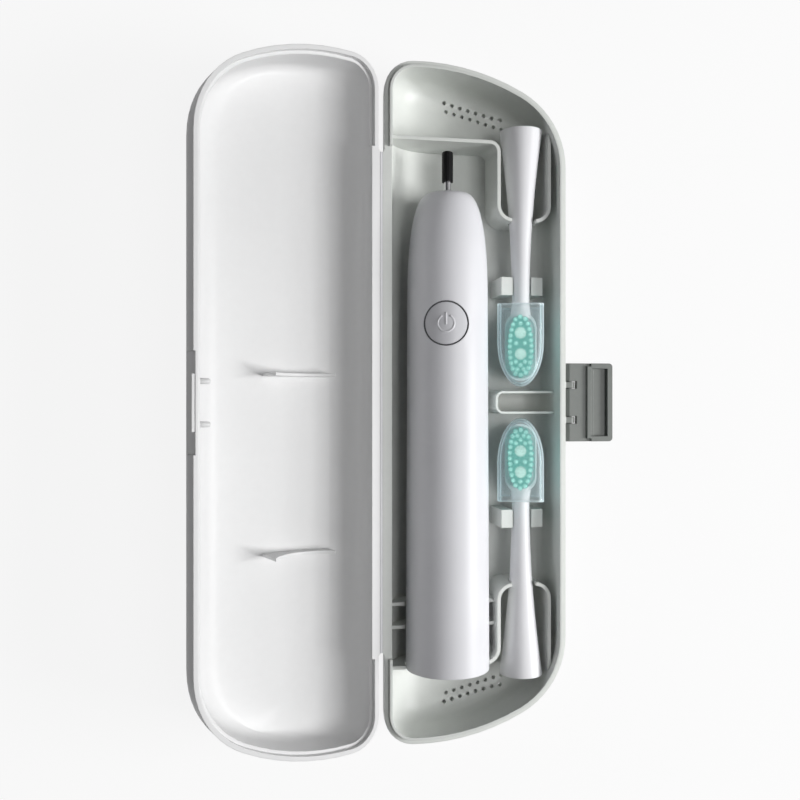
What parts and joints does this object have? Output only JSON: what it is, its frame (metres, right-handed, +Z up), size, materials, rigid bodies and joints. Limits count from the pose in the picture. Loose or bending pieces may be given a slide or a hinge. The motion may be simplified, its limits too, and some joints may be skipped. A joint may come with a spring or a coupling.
{
  "type": "toothbrush travel case",
  "caption": "Long moulded travel case, open on its back, with a film-hinged lid and a latch; its tray holds a sonic toothbrush handset and capped brush heads.",
  "frame": {"origin": "middle of the base's flat back, on the surface that the case lies on", "axes": "+Z up out of the tray, +Y along the case from the handset's lower end towards its shaft, +X from the hinge towards the latch"},
  "size_m": [0.1421, 0.2256, 0.0435],
  "materials": {
    "shell": "satin moulded",
    "tray": "satin moulded",
    "handset_white": "satin gloss",
    "button_grey": "satin",
    "dark_rubber": "soft",
    "grey_rubber": "soft",
    "steel": "ground",
    "black_sleeve": "ribbed",
    "inner_plastic": "plain",
    "cell_wrap": "shrink film",
    "board": "solder mask",
    "switch_black": "plain",
    "copper": "enamelled wire",
    "green_bristle": "soft strands",
    "pale_bristle": "soft strands",
    "clear_cap": "clear"
  },
  "bodies": {
    "base": {"base_shell": "tray", "film_hinge": "shell"},
    "lid": {"lid_shell": "shell"},
    "latch": {"latch": "tray"},
    "handset": {"handset_housing": "handset_white", "handset_end_cap": "handset_white", "end_cap_seal": "dark_rubber", "button_gasket": "dark_rubber", "shaft_seal": "grey_rubber", "handset_chassis": "inner_plastic", "motor": "steel", "battery_cell": "cell_wrap", "circuit_board": "board", "tactile_switch": "switch_black", "charging_coil": "copper"},
    "power_button": {"power_button": "button_grey"},
    "drive": {"drive_shaft": "steel", "shaft_sleeve": "black_sleeve"},
    "upper_head": {"upper_head_body": "handset_white", "upper_head_green_bristles": "green_bristle", "upper_head_pale_bristles": "pale_bristle", "upper_head_coupling": "inner_plastic", "upper_head_cap": "clear_cap"},
    "lower_head": {"lower_head_body": "handset_white", "lower_head_green_bristles": "green_bristle", "lower_head_pale_bristles": "pale_bristle", "lower_head_coupling": "inner_plastic", "lower_head_cap": "clear_cap"}
  },
  "joints": [
    {"name": "lid_hinge", "type": "hinge", "parent": "base", "child": "lid", "pos_m": [-0.0322, 0, 0.01955], "axis": [0, -1, 0], "range_deg": [-157.7, 22.3], "deforming": ["film_hinge"]},
    {"name": "latch_hinge", "type": "hinge", "parent": "base", "child": "latch", "pos_m": [0.0337, 0, 0.0158], "axis": [0, 1, 0], "range_deg": [-90, 30]},
    {"name": "handset_lift", "type": "slide", "parent": "base", "child": "handset", "axis": [0, 0, 1], "range_m": [0, 0.045]},
    {"name": "upper_head_lift", "type": "slide", "parent": "base", "child": "upper_head", "axis": [0, 0, 1], "range_m": [0, 0.045]},
    {"name": "lower_head_lift", "type": "slide", "parent": "base", "child": "lower_head", "axis": [0, 0, 1], "range_m": [0, 0.045]},
    {"name": "button_press", "type": "slide", "parent": "handset", "child": "power_button", "axis": [0.2588, 0, -0.9659], "range_m": [0, 0.0004], "stiffness_N_per_m": 600, "springref_m": -0.0008},
    {"name": "shaft_swing", "type": "hinge", "parent": "handset", "child": "drive", "pos_m": [-0.0093, 0.06975, 0.0162], "axis": [0, 1, 0], "range_deg": [-4.5, 4.5], "stiffness_Nm_per_rad": 0.02}
  ]
}
